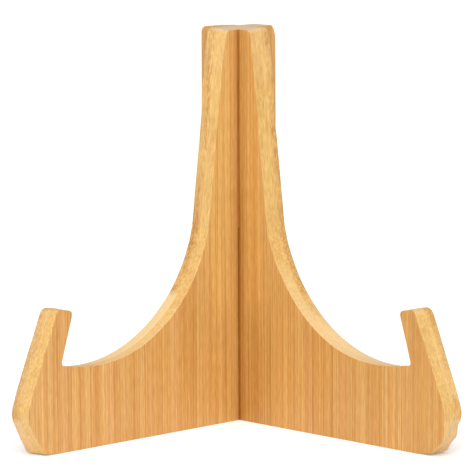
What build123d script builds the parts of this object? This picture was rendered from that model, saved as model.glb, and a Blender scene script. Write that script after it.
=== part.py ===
"""Plate display stand: two laminated bamboo boards that slot together into an X.

Frame: origin on the vertical line where the boards cross, at the height of the surface they
stand on. +Z is up, -Y is the front, where the plate goes, and +X is to the right from the front.
Each board stands in the vertical plane through the Z axis. In that plane, "out" is the distance
from the Z axis, positive along the board's front arm and negative along its rear arm.
"""

import os
from math import cos, radians, sin

from build123d import *

# Driving dimensions, in millimetres and degrees.
HEIGHT = 160.0
THICKNESS = 10.0
PLY_THICKNESS = THICKNESS / 2
CROSSING_ANGLE = 90.0
INNER_EDGE_ROUND = 0.25
OUTER_EDGE_ROUND = 0.8

# Upright post. Its front edge leans back towards the top, and its rear edge is vertical.
POST_FRONT_TOP = 12.0
POST_FRONT_FOOT = (21.9, 80.6)
POST_REAR = -16.4
POST_FRONT_CORNER = 2.5
POST_REAR_CORNER = 3.0
POST_BLEND = 12.0

# Front arm: one long concave sweep down to the notch, then the hook that stops the plate.
SWEEP_RADIUS = 63.8
NOTCH_CORNER = (101.2, 33.8)
HOOK_INNER_TOP = (94.4, 55.0)
HOOK_OUTER_TOP = (102.5, 56.7)
FRONT_TOE = (119.6, 16.7)
FRONT_SOLE_END = 111.2
NOTCH_ROUND = 2.0
HOOK_INNER_ROUND = 1.8
HOOK_OUTER_ROUND = 2.8
FRONT_TOE_ROUND = 10.0
SOLE_ROUND = 1.2

# Rear arm: a shorter sweep down to a low foot, undercut like the front toe.
REAR_SWEEP_TOP = 98.0
REAR_SWEEP_RADIUS = 95.0
REAR_TOE = (-66.5, 14.2)
REAR_SOLE_END = -59.3
REAR_TOE_ROUND = 6.0

# Cross-halving joint. Each board is slotted for half its height to take the other one.
SLOT_CLEARANCE = 0.45
SLOT_WIDTH = THICKNESS + 2 * SLOT_CLEARANCE
SLOT_MEETING_HEIGHT = 79.0
SLOT_END_GAP = 0.2

# Each board: the heading of its front arm from +X, the side its inner ply lies on, and its slot.
BOARDS = {
    "left_board": (-90 - CROSSING_ANGLE / 2, -1, (0, SLOT_MEETING_HEIGHT + SLOT_END_GAP)),
    "right_board": (-90 + CROSSING_ANGLE / 2, 1, (SLOT_MEETING_HEIGHT - SLOT_END_GAP, HEIGHT)),
}

CORNER_ROUNDS = (
    ((POST_REAR, HEIGHT), POST_REAR_CORNER),
    ((POST_FRONT_TOP, HEIGHT), POST_FRONT_CORNER),
    (POST_FRONT_FOOT, POST_BLEND),
    (NOTCH_CORNER, NOTCH_ROUND),
    (HOOK_INNER_TOP, HOOK_INNER_ROUND),
    (HOOK_OUTER_TOP, HOOK_OUTER_ROUND),
    (FRONT_TOE, FRONT_TOE_ROUND),
    ((FRONT_SOLE_END, 0), SOLE_ROUND),
    ((REAR_SOLE_END, 0), SOLE_ROUND),
    (REAR_TOE, REAR_TOE_ROUND),
)


def board_profile():
    """The side outline shared by both boards, with its corners rounded."""
    with BuildSketch() as profile:
        with BuildLine():
            Line((POST_REAR, HEIGHT), (POST_FRONT_TOP, HEIGHT))
            Line((POST_FRONT_TOP, HEIGHT), POST_FRONT_FOOT)
            RadiusArc(POST_FRONT_FOOT, NOTCH_CORNER, -SWEEP_RADIUS)
            Polyline(
                NOTCH_CORNER,
                HOOK_INNER_TOP,
                HOOK_OUTER_TOP,
                FRONT_TOE,
                (FRONT_SOLE_END, 0),
                (REAR_SOLE_END, 0),
                REAR_TOE,
            )
            RadiusArc(REAR_TOE, (POST_REAR, REAR_SWEEP_TOP), -REAR_SWEEP_RADIUS)
            Line((POST_REAR, REAR_SWEEP_TOP), (POST_REAR, HEIGHT))
        make_face()
        for corner, radius in CORNER_ROUNDS:
            fillet(profile.vertices().sort_by_distance(corner)[0], radius)
    return profile.sketch


def board_plane(heading):
    """The vertical plane of a board, with its x axis along the front arm and its y axis up."""
    out = (cos(radians(heading)), sin(radians(heading)), 0)
    normal = (sin(radians(heading)), -cos(radians(heading)), 0)
    return Plane(origin=(0, 0, 0), x_dir=out, z_dir=normal)


os.makedirs("parts", exist_ok=True)
outline = board_profile()

for board, (heading, inner_side, (slot_low, slot_high)) in BOARDS.items():
    plane = board_plane(heading)
    layers = (
        ("inner_ply", inner_side, INNER_EDGE_ROUND),
        ("outer_ply", -inner_side, OUTER_EDGE_ROUND),
    )
    for layer, side, edge_round in layers:
        with BuildPart() as ply:
            with BuildSketch(plane):
                add(outline)
            extrude(amount=side * PLY_THICKNESS)
            show_face = ply.faces().sort_by(Axis(plane.origin, plane.z_dir * side))[-1]
            fillet(show_face.outer_wire().edges(), edge_round)
            with BuildSketch(plane):
                with Locations((0, (slot_low + slot_high) / 2)):
                    Rectangle(SLOT_WIDTH, slot_high - slot_low)
            extrude(amount=side * PLY_THICKNESS, mode=Mode.SUBTRACT)
        ply.part.label = f"{board}_{layer}"
        export_step(ply.part, f"parts/{ply.part.label}.step")
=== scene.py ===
"""Looks for the plate display stand: two laminated bamboo boards slotted into an X.

Each board is glued from two plies, and each ply is a piece here. Its outline is read from
the CAD ply, and the piece adds what CAD leaves plain: arrises sanded by hand, a fine groove
along the glue line, the small faults of hand work, and the bamboo itself.

A place on a board is in millimetres and in the board's own directions: out from the crossing
axis along its front arm, across from the glue plane towards its inner face, and up from the
floor. In formulas these are s, a and z.
"""

import math

import bpy
import numpy as np
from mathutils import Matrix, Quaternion, Vector, noise
from mathutils.geometry import delaunay_2d_cdt


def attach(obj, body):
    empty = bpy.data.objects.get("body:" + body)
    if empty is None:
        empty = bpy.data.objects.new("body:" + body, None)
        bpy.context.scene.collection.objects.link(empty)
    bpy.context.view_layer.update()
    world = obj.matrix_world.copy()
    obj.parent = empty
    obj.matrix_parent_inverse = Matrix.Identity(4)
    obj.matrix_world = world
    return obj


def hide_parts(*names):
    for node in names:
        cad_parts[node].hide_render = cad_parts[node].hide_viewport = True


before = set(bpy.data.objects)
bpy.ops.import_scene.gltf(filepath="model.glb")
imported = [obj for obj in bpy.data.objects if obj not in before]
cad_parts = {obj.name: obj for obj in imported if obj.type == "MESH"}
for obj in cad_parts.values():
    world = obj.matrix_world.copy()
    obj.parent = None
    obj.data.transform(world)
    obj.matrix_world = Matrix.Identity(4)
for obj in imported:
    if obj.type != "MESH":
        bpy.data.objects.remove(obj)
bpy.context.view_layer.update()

MM = 0.001

# ---------------------------------------------------------------- the boards

# The heading of each board's front arm, in degrees from +X.
HEADINGS = {"left_board": -135.0, "right_board": -45.0}
# Which side of the glue plane each ply is on: the inner plies face the space in front.
PLY_SIDES = {"inner_ply": 1, "outer_ply": -1}

# Rounding where a show face meets an edge: only broken in front, well rounded behind.
ARRIS = {"inner_ply": 0.25, "outer_ply": 0.8}
ARRIS_STEPS = 6        # facets across that rounding
ARRIS_WEAR = 0.25      # how much of it comes and goes
WEAR_SCALE = 9.0       # over what length it does
WEAR_SEED = 3.0        # keeps it apart from the sanding
SANDING = 0.07         # how far the sanded edges wander inwards
SANDING_SCALE = 7.0    # over what length they wander
SLOT_HALF = 5.46       # an outline point nearer the crossing axis than this is in the slot
SLOT_EASE = 0.12       # the slots are sawn last, so their arrises are only just broken
SLOT_MEETING = 79.0    # height where the two boards' slot ends meet
SLOT_END_GAP = 0.04    # how far each slot end is from that height
GLUE_GROOVE = 0.1      # half the width of the groove along the glue line

# How finely a ply is built.
SPACING = 1.4          # the longest step along an outline
CURVED_STEP = 6.0      # CAD's own steps along a curve are shorter than this
CORNER_TURN = 20.0     # degrees; a sharper turn than this is a corner
WALL_ROWS = 4          # rows of faces across an edge, between the groove and the rounding
FACE_RIM = 0.12        # a narrow flat strip inside the rounding, which keeps its shading even
CAP_PITCH = 6.0        # grid of points inside a flat face
CAP_MARGIN = 2.5       # the grid's distance from the outline
SHARP_TURN = 38.0      # degrees; faces that meet at more than this have a sharp edge
ON_GLUE = 0.001        # a corner of CAD's this near the glue plane is on it
ON_FLOOR = 0.01        # an outline point this near the floor is on it
PARALLEL = 1e-3        # edges that turn by less than this many radians are in line


def board_axes(board):
    """Unit vectors of a board: out along its front arm, and across it to its inner face."""
    heading = math.radians(HEADINGS[board])
    out = Vector((math.cos(heading), math.sin(heading), 0))
    turn = 1 if board == "right_board" else -1
    across = Vector((math.sin(heading), -math.cos(heading), 0)) * turn
    return out, across


def boundary_loop(faces):
    """The corners round a patch of faces, in order."""
    uses = {}
    for face in faces:
        for pair in zip(face, face[1:] + face[:1]):
            key = tuple(sorted(pair))
            uses[key] = uses.get(key, 0) + 1
    near = {}
    for (a, b), count in uses.items():
        if count == 1:
            near.setdefault(a, []).append(b)
            near.setdefault(b, []).append(a)
    start = min(near)
    loop = [start]
    last, here = start, near[start][0]
    while here != start:
        loop.append(here)
        ahead = [corner for corner in near[here] if corner != last][0]
        last, here = here, ahead
    return loop


def glue_outline(board, layer):
    """A CAD ply's outline on the glue plane: (out, height) points in mm, anticlockwise."""
    out, across = board_axes(board)
    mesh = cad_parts[f"{board}_{layer}"].data
    corners = [(round(v.co.dot(out) / MM, 4), round(v.co.dot(across) / MM, 4),
                round(v.co.z / MM, 4)) for v in mesh.vertices]
    flat = []
    for face in mesh.polygons:
        face_corners = [corners[i] for i in face.vertices]
        if all(abs(corner[1]) < ON_GLUE for corner in face_corners):
            flat.append(face_corners)
    outline = np.array([(s, z) for s, a, z in boundary_loop(flat)])
    s, z = outline.T
    area = np.sum(s * np.roll(z, -1) - np.roll(s, -1) * z)
    return outline if area > 0 else outline[::-1]


def closed_slot(outline):
    """The outline with its slot's end moved so that the two boards' slots all but meet."""
    s, z = outline.T
    end = (np.abs(s) < SLOT_HALF) & (np.abs(z - SLOT_MEETING) < 1)
    above = z > SLOT_MEETING
    met = SLOT_MEETING + np.where(above, SLOT_END_GAP, -SLOT_END_GAP)
    return np.column_stack([s, np.where(end, met, z)])


def unit(vectors):
    """The vectors scaled to length 1."""
    return vectors / np.linalg.norm(vectors, axis=-1, keepdims=True)


def refined(outline):
    """The outline in short steps, with CAD's chords bent back into smooth curves."""
    steps = np.roll(outline, -1, axis=0) - outline
    lengths = np.linalg.norm(steps, axis=1)
    ahead = unit(steps)
    behind = np.roll(ahead, 1, axis=0)
    turn = np.degrees(np.arccos(np.clip(np.sum(ahead * behind, axis=1), -1, 1)))
    curved = lengths < CURVED_STEP
    points = []
    for k, start in enumerate(outline):
        n = (k + 1) % len(outline)
        leave = arrive = ahead[k]
        if curved[k] and turn[k] < CORNER_TURN:
            leave = unit(ahead[k] + behind[k]) if curved[k - 1] else behind[k]
        if curved[k] and turn[n] < CORNER_TURN:
            arrive = unit(ahead[k] + ahead[n]) if curved[n] else ahead[n]
        count = max(1, math.ceil(lengths[k] / SPACING))
        for t in np.arange(count) / count:
            blend = t * t * (3 - 2 * t)
            bow = leave * (t - 2 * t**2 + t**3) + arrive * (t**3 - t**2)
            points.append(start + steps[k] * blend + bow * lengths[k])
    return np.array(points)


def inset(outline, distances, slot_distance, in_slot):
    """The outline moved inwards, by a distance at each point and another along the slot."""
    ahead = unit(np.roll(outline, -1, axis=0) - outline)
    normals = np.stack([-ahead[:, 1], ahead[:, 0]], axis=1)
    before = np.roll(normals, 1, axis=0)
    after_by = np.where(in_slot, slot_distance, distances)
    before_by = np.where(np.roll(in_slot, 1), slot_distance, distances)
    moved = np.empty_like(outline)
    for k in range(len(outline)):
        sides = np.array([before[k], normals[k]])
        if abs(np.linalg.det(sides)) > PARALLEL:
            shift = np.linalg.solve(sides, [before_by[k], after_by[k]])
        else:
            shift = normals[k] * after_by[k]
        moved[k] = outline[k] + shift
    return moved


def smooth_noise(points, scale, seed):
    """Noise from -1 to 1 at each row of mm coordinates."""
    return np.array([noise.noise(Vector(p) / scale + Vector((seed, 0, 0))) for p in points])


def inside(points, loop):
    """Which points lie inside a closed loop."""
    x, y = points.T
    hit = np.zeros(len(points), bool)
    for (x0, y0), (x1, y1) in zip(loop, np.roll(loop, -1, axis=0)):
        if y0 == y1:
            continue
        crosses = (y0 > y) != (y1 > y)
        hit ^= crosses & (x < x0 + (y - y0) * (x1 - x0) / (y1 - y0))
    return hit


def cap_triangles(loop):
    """Triangles over a flat face: the extra points inside it, and corners by index."""
    low, high = loop.min(axis=0), loop.max(axis=0)
    grid = [(s, z) for s in np.arange(low[0], high[0], CAP_PITCH)
            for z in np.arange(low[1], high[1], CAP_PITCH)]
    grid = np.array(grid) + CAP_PITCH / 2
    grid = grid[inside(grid, loop)]
    gaps = np.linalg.norm(grid[:, None] - loop[None], axis=2).min(axis=1)
    grid = grid[gaps > CAP_MARGIN]
    points = [Vector(p) for p in np.concatenate([loop, grid])]
    ring = [(k, (k + 1) % len(loop)) for k in range(len(loop))]
    inside_only, tolerance = 1, 1e-6
    result = delaunay_2d_cdt(points, ring, [], inside_only, tolerance)
    return grid, [list(face) for face in result[2]]


def ply_thickness(board, layer):
    """A ply's thickness in mm, from its CAD mesh."""
    across = board_axes(board)[1]
    reach = [v.co.dot(across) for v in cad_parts[f"{board}_{layer}"].data.vertices]
    return max(abs(min(reach)), abs(max(reach))) / MM


def ply_mesh(board, layer):
    """One ply before hand work: its points in mm, faces, and each point's cut and rise.

    The cut is 1 on the edges and falls to 0 on the show face. The rise is how far an edge
    faces up, from -1 to 1. Here a ply lies on the positive side of the glue plane.
    """
    seed = 10.0 * (1 + sorted(HEADINGS).index(board)) + PLY_SIDES[layer]
    outline = refined(closed_slot(glue_outline(board, layer)))
    thickness = ply_thickness(board, layer)
    count = len(outline)
    near_axis = np.abs(outline[:, 0]) < SLOT_HALF
    in_slot = near_axis & np.roll(near_axis, -1)
    free = ~(near_axis | (outline[:, 1] < ON_FLOOR))
    free = free & np.roll(free, 1) & np.roll(free, -1)
    on_glue = np.column_stack([outline[:, 0], np.zeros(count), outline[:, 1]])
    wear = 1 + ARRIS_WEAR * smooth_noise(on_glue, WEAR_SCALE, seed + WEAR_SEED)
    radius = ARRIS[layer] * np.where(free, wear, 1.0)

    rings, cut = [], []

    def ring(level, distances, slot_distance, cut_value):
        """One loop of points at a level above the glue plane, this far inside the outline."""
        levels = np.broadcast_to(level, count)
        spots = np.column_stack([outline[:, 0], levels, outline[:, 1]])
        dent = SANDING * (0.5 + 0.5 * smooth_noise(spots, SANDING_SCALE, seed)) * free
        moved = inset(outline, distances + dent, slot_distance, in_slot)
        rings.append(np.column_stack([moved[:, 0], levels, moved[:, 1]]))
        cut.append(np.full(count, cut_value))

    ring(0.0, np.full(count, GLUE_GROOVE), GLUE_GROOVE, 1.0)
    for row in range(WALL_ROWS + 1):
        share = row / WALL_ROWS
        ring(GLUE_GROOVE + (thickness - radius - GLUE_GROOVE) * share, np.zeros(count), 0.0, 1.0)
    for step in range(1, ARRIS_STEPS + 1):
        angle = math.pi / 2 * step / ARRIS_STEPS
        level = thickness - radius * (1 - math.sin(angle))
        slot_distance = SLOT_EASE if step == ARRIS_STEPS else 0.0
        ring(level, radius * (1 - math.cos(angle)), slot_distance, math.cos(angle) ** 5)
    ring(thickness, radius + FACE_RIM, SLOT_EASE + FACE_RIM, 0.0)

    points = np.concatenate(rings)
    faces = []
    for j in range(len(rings) - 1):
        for k in range(count):
            n = (k + 1) % count
            faces.append((j * count + k, j * count + n, (j + 1) * count + n, (j + 1) * count + k))
    inner_points = []
    for j, level, flip in ((len(rings) - 1, thickness, False), (0, 0.0, True)):
        grid, triangles = cap_triangles(rings[j][:, [0, 2]])
        base = len(points) + sum(len(cap) for cap in inner_points)
        index = [j * count + k for k in range(count)] + [base + k for k in range(len(grid))]
        inner_points.append(np.column_stack([grid[:, 0], np.full(len(grid), level), grid[:, 1]]))
        for triangle in triangles:
            face = [index[i] for i in triangle]
            faces.append(face[::-1] if flip else face)
    show_face, glue_face = inner_points
    points = np.concatenate([points, show_face, glue_face])
    cuts = np.concatenate(cut + [np.zeros(len(show_face)), np.ones(len(glue_face))])
    ahead = unit(np.roll(outline, -1, axis=0) - outline)
    upward = -unit(ahead + np.roll(ahead, 1, axis=0))[:, 0]
    flat = np.zeros(len(show_face) + len(glue_face))
    rises = np.concatenate([upward * value for value in cut] + [flat])
    return points, faces, cuts, rises


# ---------------------------------------------------------------- hand work


def smoothstep(low, high, values):
    """0 at `low`, 1 at `high`, and a smooth rise between."""
    t = np.clip((values - low) / (high - low), 0, 1)
    return t * t * (3 - 2 * t)


def grows(start, full, least=0.0):
    """A share that grows smoothly from `least` at one place to 1 at the other."""
    return lambda values: least + (1 - least) * smoothstep(start, full, values)


def slopes(start, full):
    """A share that grows evenly from 0 at one place to 1 at the other."""
    return lambda values: np.clip((values - start) / (full - start), 0, 1)


def bell(middle, reach):
    """A share that is 1 in the middle and dies away on both sides."""
    return lambda values: np.exp(-(((values - middle) / reach) ** 2))


# Corners of the outline before rounding, as (out, up). The hook's side towards the notch joins
# the first two.
NOTCH_CORNER = (101.2, 33.8)
HOOK_INNER_TOP = (94.4, 55.0)
HOOK_OUTER_TOP = (102.5, 56.7)

# What sawing and sanding by hand did to the boards, in mm. Each entry says how far it moves
# the wood (out, up) on the boards it names, and the shares along each direction that say
# where. `past_hook` is the distance out from the hook's side towards the notch.
HAND_WORK = (
    # By the notch, the sweep's inner edge is higher than its outer one.
    {"left_board": (0, 0.75), "right_board": (0, 1.1), "across": [grows(-4, 4)],
     "out": [grows(55, 90), grows(101, 96)], "up": [grows(20, 30), grows(41, 36)]},
    # The corner of the notch is fuller, and so is the hook's outer corner at the inner face.
    {"left_board": (-0.35, 0.35), "right_board": (-0.35, 0.35),
     "out": [bell(NOTCH_CORNER[0], 2.2)], "up": [bell(NOTCH_CORNER[1], 2.2)]},
    {"left_board": (0.25, 0.45), "right_board": (0.25, 0.45), "across": [grows(0, 5)],
     "out": [bell(HOOK_OUTER_TOP[0], 1.8)], "up": [bell(HOOK_OUTER_TOP[1], 1.8)]},
    # In front of the crossing, the top is sanded down towards the inner faces.
    {"left_board": (0, -0.7), "right_board": (0, -0.7), "across": [grows(-1, 5)],
     "out": [grows(-2, 4)], "up": [grows(154, 160)]},
    # Near the top, the outer plies' front edges stand proud of the inner ones.
    {"left_board": (0.95, 0), "right_board": (0.95, 0), "across": [grows(3, -4)],
     "out": [grows(5.6, 10.5)], "up": [grows(124, 134), grows(160, 148, least=0.5)]},
    # The left board's rear top corner is sanded back.
    {"left_board": (0.65, 0), "out": [grows(-12.5, -16.5)], "up": [grows(154.5, 158.5)]},
    # Its sweep is a little shallower.
    {"left_board": (0, 0.3), "out": [grows(26, 50), grows(101, 96)], "up": [grows(10, 30)]},
    # Its front edge is sanded back at the inner face, near the top.
    {"left_board": (-0.5, 0), "across": [grows(1, 5)], "out": [grows(8, 12)],
     "up": [grows(145, 156)]},
    # The right board's rear top corner is sanded down.
    {"right_board": (0, -0.3), "out": [grows(-7, -13)], "up": [grows(150, 160)]},
    # Halfway up, its front edge isn't square: the inner arris is further in.
    {"right_board": (-0.5, 0), "across": [grows(-1, 5)], "out": [grows(8, 12)],
     "up": [grows(60, 66), grows(128, 112)]},
    # Its hook is thicker on the notch side.
    {"right_board": (-0.45, 0), "past_hook": [grows(4, 0.5)], "out": [grows(87, 91)],
     "up": [grows(34, 37)]},
    # The hook's outer corner is lower.
    {"right_board": (0, -0.45), "out": [grows(99.5, 103)], "up": [grows(51, 56.5)]},
    # The hook's outer edge isn't square either, least so low down.
    {"right_board": (-0.6, 0), "across": [grows(-3, 5)], "out": [grows(98, 103)],
     "up": [grows(17, 30), grows(40, 52, least=0.5)]},
    # The front toes are flattened just above their widest point.
    {"left_board": (-0.35, 0), "right_board": (-0.35, 0), "out": [grows(109, 113)],
     "up": [bell(20.5, 3.2)]},
    # The right board's undercut has a swelling, a flat spot above it, and extra wood at the
    # inner edge.
    {"right_board": (0.9135, -0.525), "out": [grows(105, 109)],
     "up": [grows(15.5, 13.5), bell(7.9, 2.1)]},
    {"right_board": (-0.3045, 0.175), "out": [grows(105, 109)],
     "up": [grows(15.5, 13.5), bell(11.9, 1.4)]},
    {"right_board": (1.8, 0), "across": [grows(-3, 5)], "out": [grows(105, 109)],
     "up": [grows(0.5, 4.5), grows(14.5, 11)]},
    # The left board's undercut isn't square: towards the floor, its inner edge is further in.
    {"left_board": (-1.6, 0), "across": [grows(-4, 5)], "out": [grows(100, 110)],
     "up": [slopes(13, 0)]},
    # The ends of the front soles are worn up, a little more at the inner face.
    {"left_board": (0, 0.65), "across": [grows(-1.5, 4.5, least=0.846)],
     "out": [grows(103, 111)], "up": [grows(6, 0)]},
    {"right_board": (0, 1.0), "across": [grows(-1.5, 4.5, least=0.9)],
     "out": [grows(103, 111)], "up": [grows(6, 0)]},
)


def hand_shaped(points, board):
    """A board's points after the hand work on it."""
    lean = (HOOK_INNER_TOP[0] - NOTCH_CORNER[0]) / (HOOK_INNER_TOP[1] - NOTCH_CORNER[1])
    s, a, z = points.T
    for touch in HAND_WORK:
        if board not in touch:
            continue
        hook_side = NOTCH_CORNER[0] + lean * (z - NOTCH_CORNER[1])
        places = {"out": s, "across": a, "up": z, "past_hook": s - hook_side}
        share = 1.0
        for direction, values in places.items():
            for part in touch.get(direction, ()):
                share = share * part(values)
        outwards, upwards = touch[board]
        s = s + outwards * share
        z = z + upwards * share
    return np.column_stack([s, a, z])


# ---------------------------------------------------------------- pieces


def add_object(name, data):
    """A new object in the scene, at the origin."""
    item = bpy.data.objects.new(name, data)
    bpy.context.scene.collection.objects.link(item)
    return item


def add_attribute(mesh, name, kind, field, values):
    """A value at each point of a mesh, for its material to read."""
    attribute = mesh.attributes.new(name, kind, "POINT")
    attribute.data.foreach_set(field, values)


def make_ply(board, layer, material):
    """The piece that stands for one CAD ply and moves with its board."""
    node = f"{board}_{layer}"
    out, across = board_axes(board)
    side = PLY_SIDES[layer]
    points, faces, cuts, rises = ply_mesh(board, layer)
    points[:, 1] *= side
    points = hand_shaped(points, board)
    place = [(out * s + across * a) * MM + Vector((0, 0, z * MM)) for s, a, z in points]
    # The outline runs anticlockwise seen against `out x up`, so one side needs its faces turned.
    outward = out.cross(Vector((0, 0, 1))).dot(across) * side
    if outward > 0:
        faces = [face[::-1] for face in faces]
    mesh = bpy.data.meshes.new(node + "_bamboo")
    mesh.from_pydata(place, [], faces)
    add_attribute(mesh, "grain", "FLOAT_VECTOR", "vector", points.ravel())
    add_attribute(mesh, "cut", "FLOAT", "value", cuts)
    add_attribute(mesh, "rise", "FLOAT", "value", rises)
    mesh.polygons.foreach_set("use_smooth", [True] * len(mesh.polygons))
    mesh.set_sharp_from_angle(angle=math.radians(SHARP_TURN))
    mesh.materials.append(material)
    mesh.validate()
    piece = add_object(node + "_bamboo", mesh)
    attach(piece, board)
    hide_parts(node)


# ---------------------------------------------------------------- bamboo


def linear(r, g, b):
    """Linear colour from 8-bit sRGB."""
    def one(c):
        c /= 255
        return c / 12.92 if c <= 0.04045 else ((c + 0.055) / 1.055) ** 2.4
    return (one(r), one(g), one(b), 1.0)


class Graph:
    """Short calls for the nodes of one material."""

    def __init__(self, name):
        self.material = bpy.data.materials.new(name)
        self.material.use_nodes = True
        self.tree = self.material.node_tree
        self.shader = self.tree.nodes["Principled BSDF"]

    def put(self, socket, value):
        """Link a socket to a node's output, or set it to a plain value."""
        if isinstance(value, bpy.types.NodeSocket):
            self.tree.links.new(value, socket)
        else:
            socket.default_value = value

    def node(self, kind, inputs=(), **settings):
        """A new node, with what goes into it."""
        node = self.tree.nodes.new(kind)
        for key, value in settings.items():
            setattr(node, key, value)
        for key, value in dict(inputs).items():
            self.put(node.inputs[key], value)
        return node

    def math(self, operation, a, b=0.0, c=0.0):
        """One step of arithmetic."""
        node = self.node("ShaderNodeMath", {0: a, 1: b, 2: c}, operation=operation)
        return node.outputs[0]

    def add(self, a, b):
        """The sum of two values."""
        return self.math("ADD", a, b)

    def times(self, a, b):
        """The product of two values."""
        return self.math("MULTIPLY", a, b)

    def line(self, value, slope, start):
        """start + slope * value."""
        return self.math("MULTIPLY_ADD", value, slope, start)

    def swing(self, value, amount):
        """1 + amount * (value - 0.5): turns a 0..1 pattern into a factor about 1."""
        return self.line(value, amount, 1 - amount / 2)

    def ramp(self, value, low, high, start=0.0, end=1.0):
        """`start` where the value is `low`, `end` where it is `high`, and smooth between."""
        node = self.node("ShaderNodeMapRange", {
            "Value": value, "From Min": low, "From Max": high, "To Min": start, "To Max": end,
        }, interpolation_type="SMOOTHSTEP")
        return node.outputs["Result"]

    def noise(self, where, detail):
        """Soft noise about 0.5, with features about 1 wide."""
        node = self.node("ShaderNodeTexNoise", {
            "Vector": where, "Scale": 1.0, "Detail": detail, "Roughness": 0.5,
        })
        return node.outputs["Fac"]

    def cells(self, where, randomness, **settings):
        """Cells along a line, each about 1 wide."""
        inputs = {"W": where, "Scale": 1.0, "Randomness": randomness}
        return self.node("ShaderNodeTexVoronoi", inputs, voronoi_dimensions="1D", **settings)

    def channels(self, colour):
        """The three channels of a colour."""
        return self.node("ShaderNodeSeparateColor", {"Color": colour}).outputs

    def mix(self, factor, a, b, blend="MIX"):
        """Colour `a` where the factor is 0, and `b`, or the blend of both, where it is 1."""
        node = self.node("ShaderNodeMix", data_type="RGBA", blend_type=blend)
        # The node has sockets for each type of data. These are the colour ones.
        self.put(node.inputs[0], factor)
        self.put(node.inputs[6], a)
        self.put(node.inputs[7], b)
        return node.outputs[2]

    def tint(self, factor, colour, multiplier):
        """The colour, multiplied by another where the factor is 1."""
        return self.mix(factor, colour, self.mix(1.0, colour, multiplier, "MULTIPLY"))

    def shade(self, colour, factor):
        """The colour times a factor about 1. Darker bamboo is also more orange."""
        tint = self.node("ShaderNodeCombineColor", {
            "Red": self.line(factor, 0.7, 0.3),
            "Green": factor,
            "Blue": self.line(factor, 1.45, -0.45),
        })
        return self.mix(1.0, colour, tint.outputs[0], "MULTIPLY")


class PlyGraph(Graph):
    """A Graph that knows where on a ply it is: out, across and up, in mm.

    `cut` is 1 on a cut edge and 0 on a face, and `face` is the opposite. `rise` is how far an
    edge faces up. `bamboo_out` and `bamboo_across` are the place in the bamboo.
    """

    def __init__(self, name, seed):
        super().__init__(name)
        grain = self.node("ShaderNodeAttribute", attribute_name="grain").outputs["Vector"]
        self.cut = self.node("ShaderNodeAttribute", attribute_name="cut").outputs["Fac"]
        self.rise = self.node("ShaderNodeAttribute", attribute_name="rise").outputs["Fac"]
        self.face = self.math("SUBTRACT", 1.0, self.cut)
        self.out, self.across, self.up = self.node(
            "ShaderNodeSeparateXYZ", {"Vector": grain},
        ).outputs
        self.bamboo_out = self.add(self.out, seed * SEED_OUT)
        self.bamboo_across = self.add(self.across, seed * SEED_ACROSS)
        drift = self.streaks(*DRIFT)
        self.bamboo_out = self.math("MULTIPLY_ADD", drift, STRIP_DRIFT, self.bamboo_out)

    def streaks(self, width, length, detail=1.0):
        """Noise stretched along the fibres, which run upwards. Sizes in mm."""
        spot = self.node("ShaderNodeCombineXYZ", {
            "X": self.times(self.bamboo_out, 1 / width),
            "Y": self.times(self.bamboo_across, 1 / width),
            "Z": self.times(self.up, 1 / length),
        })
        return self.noise(spot.outputs[0], detail)


# Sizes and places in mm.
STRIP_WIDTH = 2.4      # mean width of the bamboo strips
BAND_WIDTH = 0.9       # mean width of the finer bands in them
STRIP_DRIFT = 0.9      # how far a strip wanders sideways on its way up
STRIP_SPREAD = 0.85    # how much their widths differ
SEED_OUT = 61.7        # how far apart in the bamboo two plies are, for each step of seed
SEED_ACROSS = 13.1
JOINT_WIDTH = 0.09     # half the width of the dark line between strips, in strips
JOINT_SHARE = 0.35     # the share of those lines that don't show at all
SEAM = (0.15, 0.55)    # a seam's distance on each side: full up to the first, gone at the second
SEAM_DARK = 0.7        # how much a seam shows, beside a joint that shows fully

# Patterns stretched along the fibres: their width and length.
DRIFT = (12, 60)
BROAD = (16, 300)
FINE = (0.5, 90)
FLECKS = (0.6, 5)
LINES = (0.7, 160)
BUNDLES = (0.62, 2.6)
PATCHES = (3.0, 30)
SKIN_STREAKS = (5, 45)
# The levels of noise between which a pattern sets in.
LINES_FROM = (0.55, 0.72)
BUNDLES_FROM = (0.42, 0.62)
PATCHES_FROM = (0.4, 0.62)
SKIN_FROM = (0.36, 0.54)
# How strongly each changes the tone.
BROAD_TONE = 0.12
FINE_TONE = 0.9
BAND_TONE = 0.09
FLECKS_TONE = 0.5
JOINT_TONE = 0.2
# How strongly each changes the colour.
LINES_COLOUR = 0.5
SKIN_COLOUR = 0.6

# Where a look begins and where it ends, or is full: distances out, across or up.
SKIN_ACROSS = (-0.6, -2.4)
OPEN_FACE_OUT = (4.5, 5.0)         # nearer the axis, the other board covers the face
# Painted shade in the corner beside the joint: darkest near it, gone further out, less high up.
JOINT_SHADE_OUT = (5.5, 10.5)
JOINT_SHADE_UP = (118.0, 80.0)
JOINT_SHADE_HIGH_UP = 0.45               # the share of the painted shade above that
LOW_JOINT_SHADE_OUT = (12.0, 34.0)
LOW_JOINT_SHADE_UP = (58.0, 30.0)
# A painted shadow: a dark line beside the joint, along the slot's gap.
PAINTED_GAP_SHADOW_OUT = (5.3, 6.4)
# Painted light on the strips a little way out from the joint, in the corner.
CORNER_LIGHT_OUT = (8.5, 12.0)
CORNER_LIGHT_OUT_END = (26.0, 16.0)
CORNER_LIGHT_UP = (36.0, 58.0)
# A painted reflection on the flattest part of the sweep; a painted highlight and a painted
# reflection near the post's top.
PAINTED_REFLECTION_UP = (54.0, 44.0)
POST_EDGE_HIGHLIGHT_UP = (134.0, 150.0)
POST_TOP_REFLECTION_UP = (150.0, 157.0)
# The same for how far an edge faces up.
SWEEP_RISE = (0.3, 0.56)
PAINTED_REFLECTION_RISE = (0.6, 0.92)
POST_TOP_REFLECTION_RISE = (0.45, 1.0)
PAINTED_UNDERCUT_LIGHT_RISE = (-0.15, -0.4)
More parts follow.
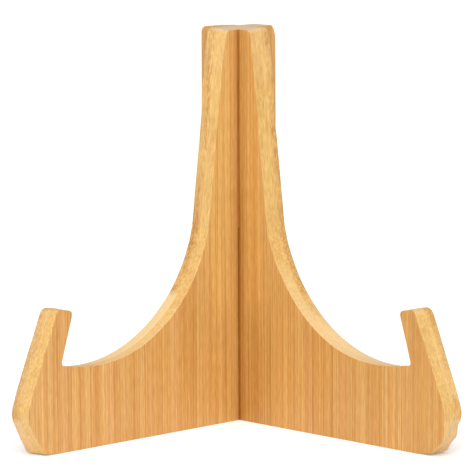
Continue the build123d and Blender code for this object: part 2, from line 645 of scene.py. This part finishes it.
# How strongly the painted light, highlight and reflections show.
PAINTED_UNDERCUT_LIGHT_PALE = 0.7                # beside the sweep
POST_EDGE_HIGHLIGHT = 0.16
POST_TOP_REFLECTION_GREY = 0.8
PAINTED_LIGHT_GRAIN = 0.8                   # how much it follows the fibres

ROUGHNESS = 0.36                   # in the hollows between fibres
FIBRE_ROUGHNESS = 0.16             # what the fibres add
FIBRE_HEIGHT = 0.6                 # beside the depth of a joint
BUMP_DEPTH = 0.00002               # in metres
BUMP_STRENGTH = 0.3

PALE = linear(234, 181, 112)
DEEP = linear(218, 154, 76)
PINK = linear(231, 169, 108)
FIBRE = linear(186, 118, 48)
CUT = linear(240, 194, 118)
MOTTLE = linear(214, 150, 72)
SKIN = linear(190, 126, 56)
# Colours of painted light, a painted highlight and painted reflections on the edges.
PAINTED_LIGHT_PALE = linear(219, 188, 136)
PAINTED_REFLECTION = linear(245, 205, 162)
PAINTED_UNDERCUT_LIGHT = linear(222, 183, 127)
POST_TOP_REFLECTION = linear(195, 170, 138)
# Painted shade in the corner beside the joint, and a painted shadow along the slot's gap.
PAINTED_JOINT_SHADE = (0.74, 0.64, 0.42, 1.0)
PAINTED_GAP_SHADOW = (0.84, 0.68, 0.38, 1.0)

# How each ply differs. Places and heights are in mm, and colours are multipliers.
#   seed: the place in the bamboo that it was cut from
#   tone: its colour
#   mottled: how much its fibres show on the cut edges
#   pale, pale_from: how pale the sweep's painted light is, and the heights where it sets in
#   flat_reflection: how white the painted reflection makes the flattest part of the sweep
#   stain, joint_shade_low: how dark the painted shade is beside the joint and, more widely, near
#       the floor there
#   corner_light: the painted light on the strips just beyond that painted shade
#   seams: how far out its most visible joints between strips are
LOOKS = {
    "left_board_inner_ply": {
        "seed": 1, "tone": (0.745, 0.75, 0.70, 1), "mottled": 0.4, "pale": 0.15,
        "pale_from": (48, 42), "flat_reflection": 0.1, "joint_shade": 0.35,
        "corner_light": (1.12, 1.2, 1.2, 1), "seams": (14.0, 21.5, 91.5),
    },
    "left_board_outer_ply": {
        "seed": 2, "tone": (0.70, 0.68, 0.63, 1), "mottled": 0.8, "pale": 0.85,
        "pale_from": (57, 53), "flat_reflection": 0.05, "joint_shade": 0.3,
    },
    "right_board_inner_ply": {
        "seed": 3, "tone": (0.70, 0.695, 0.60, 1), "mottled": 0.4, "pale": 0.42,
        "pale_from": (68, 60), "flat_reflection": 0.2, "joint_shade": 0.9, "joint_shade_low": 0.5,
        "corner_light": (1.06, 1.03, 0.94, 1), "seams": (17.5, 30.0, 44.0),
    },
    "right_board_outer_ply": {
        "seed": 4, "tone": (0.725, 0.725, 0.67, 1), "mottled": 0.65, "pale": 0.8,
        "pale_from": (58, 36), "flat_reflection": 0.05, "joint_shade": 0.3,
    },
}


def strips(g, seams):
    """The strips: their colour, the tone of the finer bands in them, and where two meet."""
    where = g.times(g.bamboo_out, 1 / STRIP_WIDTH)
    cells = g.cells(where, STRIP_SPREAD)
    edges = g.cells(where, STRIP_SPREAD, feature="DISTANCE_TO_EDGE")
    bands = g.cells(g.times(g.bamboo_out, 1 / BAND_WIDTH), 1.0)
    tone, hue, joint_pick = g.channels(cells.outputs["Color"])
    band_tone = g.channels(bands.outputs["Color"])[0]

    joint = g.ramp(edges.outputs["Distance"], 0.0, JOINT_WIDTH, 1.0, 0.0)
    joint = g.times(g.times(joint, g.face), g.ramp(joint_pick, JOINT_SHARE, 1.0))
    for place in seams:
        beside_seam = g.math("ABSOLUTE", g.math("SUBTRACT", g.out, place))
        seam = g.times(g.ramp(beside_seam, *SEAM, SEAM_DARK, 0.0), g.face)
        joint = g.math("MAXIMUM", joint, seam)

    colour = g.mix(g.line(tone, 0.7, 0.15), DEEP, PALE)
    colour = g.mix(g.ramp(hue, 0.65, 1.0, 0.0, 0.6), colour, PINK)
    colour = g.mix(g.times(g.cut, 0.85), colour, CUT)
    return colour, band_tone, joint


def with_fibres(g, colour, band_tone, joint, fine, mottled):
    """The fibres: streaks and thin dark lines along a face, a close mottle on a cut edge."""
    broad = g.streaks(*BROAD)
    flecks = g.streaks(*FLECKS)
    lines = g.times(g.ramp(g.streaks(*LINES), *LINES_FROM), g.face)
    bundles = g.ramp(g.streaks(*BUNDLES), *BUNDLES_FROM)
    patches = g.ramp(g.streaks(*PATCHES, detail=2.0), *PATCHES_FROM)
    mottle = g.times(g.times(bundles, g.cut), g.line(patches, 0.75, 0.25))
    # The outer plies' fibres are closest, and darkest, towards their show face.
    skin = g.ramp(g.streaks(*SKIN_STREAKS), *SKIN_FROM)
    skin = g.times(g.ramp(g.across, *SKIN_ACROSS), skin)
    skin = g.times(g.times(skin, g.cut), g.line(bundles, 0.6, 0.4))

    factor = g.times(g.swing(broad, BROAD_TONE), g.swing(fine, FINE_TONE))
    factor = g.times(factor, g.swing(band_tone, BAND_TONE))
    factor = g.times(factor, g.swing(flecks, FLECKS_TONE))
    factor = g.times(factor, g.line(joint, -JOINT_TONE, 1.0))
    colour = g.shade(colour, factor)
    colour = g.mix(g.times(lines, LINES_COLOUR), colour, FIBRE)
    colour = g.mix(g.times(mottle, mottled), colour, MOTTLE)
    return g.mix(g.times(skin, SKIN_COLOUR), colour, SKIN)


def joint_shaded(g, colour, joint_shade, joint_shade_low):
    """Painted shade in the corner by the joint, and a painted shadow along the slot's gap."""
    from_joint = g.math("ABSOLUTE", g.out)
    open_face = g.times(g.ramp(from_joint, *OPEN_FACE_OUT), g.face)
    # Painted shade in the corner beside the joint, with less of it high up.
    shade_beside = g.times(g.ramp(from_joint, *JOINT_SHADE_OUT, joint_shade, 0.0), open_face)
    shade_beside = g.times(shade_beside, g.ramp(g.up, *JOINT_SHADE_UP, JOINT_SHADE_HIGH_UP, 1.0))
    # Wider painted shade low down in that corner.
    shade_low_down = g.ramp(from_joint, *LOW_JOINT_SHADE_OUT, joint_shade_low, 0.0)
    shade_low_down = g.times(shade_low_down, g.ramp(g.up, *LOW_JOINT_SHADE_UP))
    shade_beside = g.math("MAXIMUM", shade_beside, g.times(shade_low_down, open_face))
    colour = g.tint(shade_beside, colour, PAINTED_JOINT_SHADE)
    # A painted shadow: the dark line along the slot's gap.
    line = g.times(g.ramp(from_joint, *PAINTED_GAP_SHADOW_OUT, 1.0, 0.0), open_face)
    return g.tint(line, colour, PAINTED_GAP_SHADOW)


def toned_and_lit(g, colour, tone, corner_light):
    """The ply's own tone, and painted light on the strips a little way out from the joint."""
    colour = g.mix(1.0, colour, tone, "MULTIPLY")
    # Painted light: the strips a little way out from the joint are lit up.
    lit_zone = g.times(g.ramp(g.out, *CORNER_LIGHT_OUT), g.ramp(g.out, *CORNER_LIGHT_OUT_END))
    lit_zone = g.times(g.times(lit_zone, g.face), g.ramp(g.up, *CORNER_LIGHT_UP))
    return g.tint(lit_zone, colour, corner_light)


def with_painted_light(g, colour, fine, pale, pale_from, flat_reflection):
    """Painted light on edges facing up or down, a painted highlight and painted reflections."""
    grain = g.swing(fine, PAINTED_LIGHT_GRAIN)
    # Painted light on the edges of the sweep that face up.
    sweep = g.times(g.ramp(g.up, *pale_from), g.ramp(g.rise, *SWEEP_RISE))
    colour = g.mix(g.times(g.times(sweep, pale), grain), colour, PAINTED_LIGHT_PALE)
    # Painted light on the edges that face down, under the sweep.
    undercut = g.times(g.ramp(g.rise, *PAINTED_UNDERCUT_LIGHT_RISE), PAINTED_UNDERCUT_LIGHT_PALE * pale)
    colour = g.mix(g.times(undercut, grain), colour, PAINTED_UNDERCUT_LIGHT)
    # A painted reflection: whiter on the flattest part of the sweep.
    flat = g.times(g.ramp(g.rise, *PAINTED_REFLECTION_RISE), g.ramp(g.up, *PAINTED_REFLECTION_UP, 0.0, flat_reflection))
    colour = g.mix(flat, colour, PAINTED_REFLECTION)
    # A painted highlight on the edges near the post's top.
    post_edge_highlight = g.times(g.ramp(g.up, *POST_EDGE_HIGHLIGHT_UP, 0.0, POST_EDGE_HIGHLIGHT), g.cut)
    colour = g.mix(post_edge_highlight, colour, PAINTED_LIGHT_PALE)
    # A grey painted reflection on the post's top.
    top = g.ramp(g.up, *POST_TOP_REFLECTION_UP, 0.0, POST_TOP_REFLECTION_GREY)
    return g.mix(g.times(g.ramp(g.rise, *POST_TOP_REFLECTION_RISE), top), colour, POST_TOP_REFLECTION)


def bamboo(name, seed, tone, mottled, pale, pale_from, flat_reflection, joint_shade,
           joint_shade_low=0.0, corner_light=(1, 1, 1, 1), seams=()):
    """Strips of bamboo glued side by side, solid all the way through the ply."""
    g = PlyGraph(name, seed)
    fine = g.streaks(*FINE, detail=2.0)
    colour, band_tone, joint = strips(g, seams)
    colour = with_fibres(g, colour, band_tone, joint, fine, mottled)
    # Painted shade and shadow by the joint; painted light beyond it and on the edges.
    colour = joint_shaded(g, colour, joint_shade, joint_shade_low)
    colour = toned_and_lit(g, colour, tone, corner_light)
    colour = with_painted_light(g, colour, fine, pale, pale_from, flat_reflection)
    height = g.add(g.times(joint, -1.0), g.times(fine, FIBRE_HEIGHT))
    bump = g.node("ShaderNodeBump", {
        "Height": height, "Distance": BUMP_DEPTH, "Strength": BUMP_STRENGTH,
    })
    g.put(g.shader.inputs["Base Color"], colour)
    g.put(g.shader.inputs["Roughness"], g.line(fine, FIBRE_ROUGHNESS, ROUGHNESS))
    g.put(g.shader.inputs["Normal"], bump.outputs["Normal"])
    return g.material


# ---------------------------------------------------------------- camera and stage

# A long lens, low and almost straight in front. Lengths in metres, the lens and sensor in mm.
CAMERA_AIM = (-0.0016, 0.0, 0.07506)
CAMERA_DISTANCE = 1.4963
CAMERA_AZIMUTH = math.radians(0.976)
CAMERA_ELEVATION = math.radians(8.008)
CAMERA_ROLL = math.radians(-0.271)
CAMERA_LENS = 282.25
CAMERA_SENSOR = 36.0
CAMERA_REACH = 100

FLOOR_SIZE = 12
FLOOR_COLOUR = (0.9, 0.9, 0.9, 1)
FLOOR_ROUGHNESS = 0.9
FLOOR_GLOW = 0.15

# White light from all round, a wide soft one from above the front, and a panel in front.
ROOM_COLOUR = (1, 1, 1, 1)
ROOM_STRENGTH = 0.55
OVERHEAD_STRENGTH = 2.3
OVERHEAD_SPREAD = math.radians(70)
OVERHEAD_TILT = math.radians(30)
PANEL_PLACE = (-0.1, -1.6, 0.6)
PANEL_AIM = (0, 0, 0.06)
PANEL_SIZE = (1.0, 0.8)
PANEL_WATTS = 8


def add_camera():
    """The camera, at the photograph's viewing angle."""
    data = bpy.data.cameras.new("camera")
    data.lens = CAMERA_LENS
    data.sensor_width = CAMERA_SENSOR
    data.clip_end = CAMERA_REACH
    camera = add_object("camera", data)
    back = Vector((
        math.sin(CAMERA_AZIMUTH) * math.cos(CAMERA_ELEVATION),
        -math.cos(CAMERA_AZIMUTH) * math.cos(CAMERA_ELEVATION),
        math.sin(CAMERA_ELEVATION),
    ))
    camera.location = Vector(CAMERA_AIM) + back * CAMERA_DISTANCE
    upright = (-back).to_track_quat("-Z", "Y")
    camera.rotation_euler = (upright @ Quaternion((0, 0, 1), CAMERA_ROLL)).to_euler()
    bpy.context.scene.camera = camera


def add_floor():
    """A plain pale floor. It glows a little, to be as white as the photograph's."""
    bpy.ops.mesh.primitive_plane_add(size=FLOOR_SIZE)
    floor = bpy.context.object
    floor.name = "floor"
    material = bpy.data.materials.new("floor_white")
    material.use_nodes = True
    shader = material.node_tree.nodes["Principled BSDF"]
    shader.inputs["Base Color"].default_value = FLOOR_COLOUR
    shader.inputs["Roughness"].default_value = FLOOR_ROUGHNESS
    shader.inputs["Emission Color"].default_value = FLOOR_COLOUR
    shader.inputs["Emission Strength"].default_value = FLOOR_GLOW
    floor.data.materials.append(material)


def add_lights():
    """Plain soft studio light."""
    world = bpy.data.worlds.new("studio")
    bpy.context.scene.world = world
    world.use_nodes = True
    room = world.node_tree.nodes["Background"]
    room.inputs["Color"].default_value = ROOM_COLOUR
    room.inputs["Strength"].default_value = ROOM_STRENGTH

    sun = bpy.data.lights.new("overhead", "SUN")
    sun.energy = OVERHEAD_STRENGTH
    sun.angle = OVERHEAD_SPREAD
    add_object("overhead", sun).rotation_euler = (OVERHEAD_TILT, 0, 0)

    area = bpy.data.lights.new("key", "AREA")
    area.shape = "RECTANGLE"
    area.size, area.size_y = PANEL_SIZE
    area.energy = PANEL_WATTS
    panel = add_object("key", area)
    panel.location = PANEL_PLACE
    facing = Vector(PANEL_AIM) - Vector(PANEL_PLACE)
    panel.rotation_euler = facing.to_track_quat("-Z", "Y").to_euler()


for board in HEADINGS:
    for layer in PLY_SIDES:
        node = f"{board}_{layer}"
        make_ply(board, layer, bamboo(node + "_bamboo", **LOOKS[node]))
add_camera()
add_floor()
add_lights()
bpy.context.scene.view_settings.view_transform = "Standard"
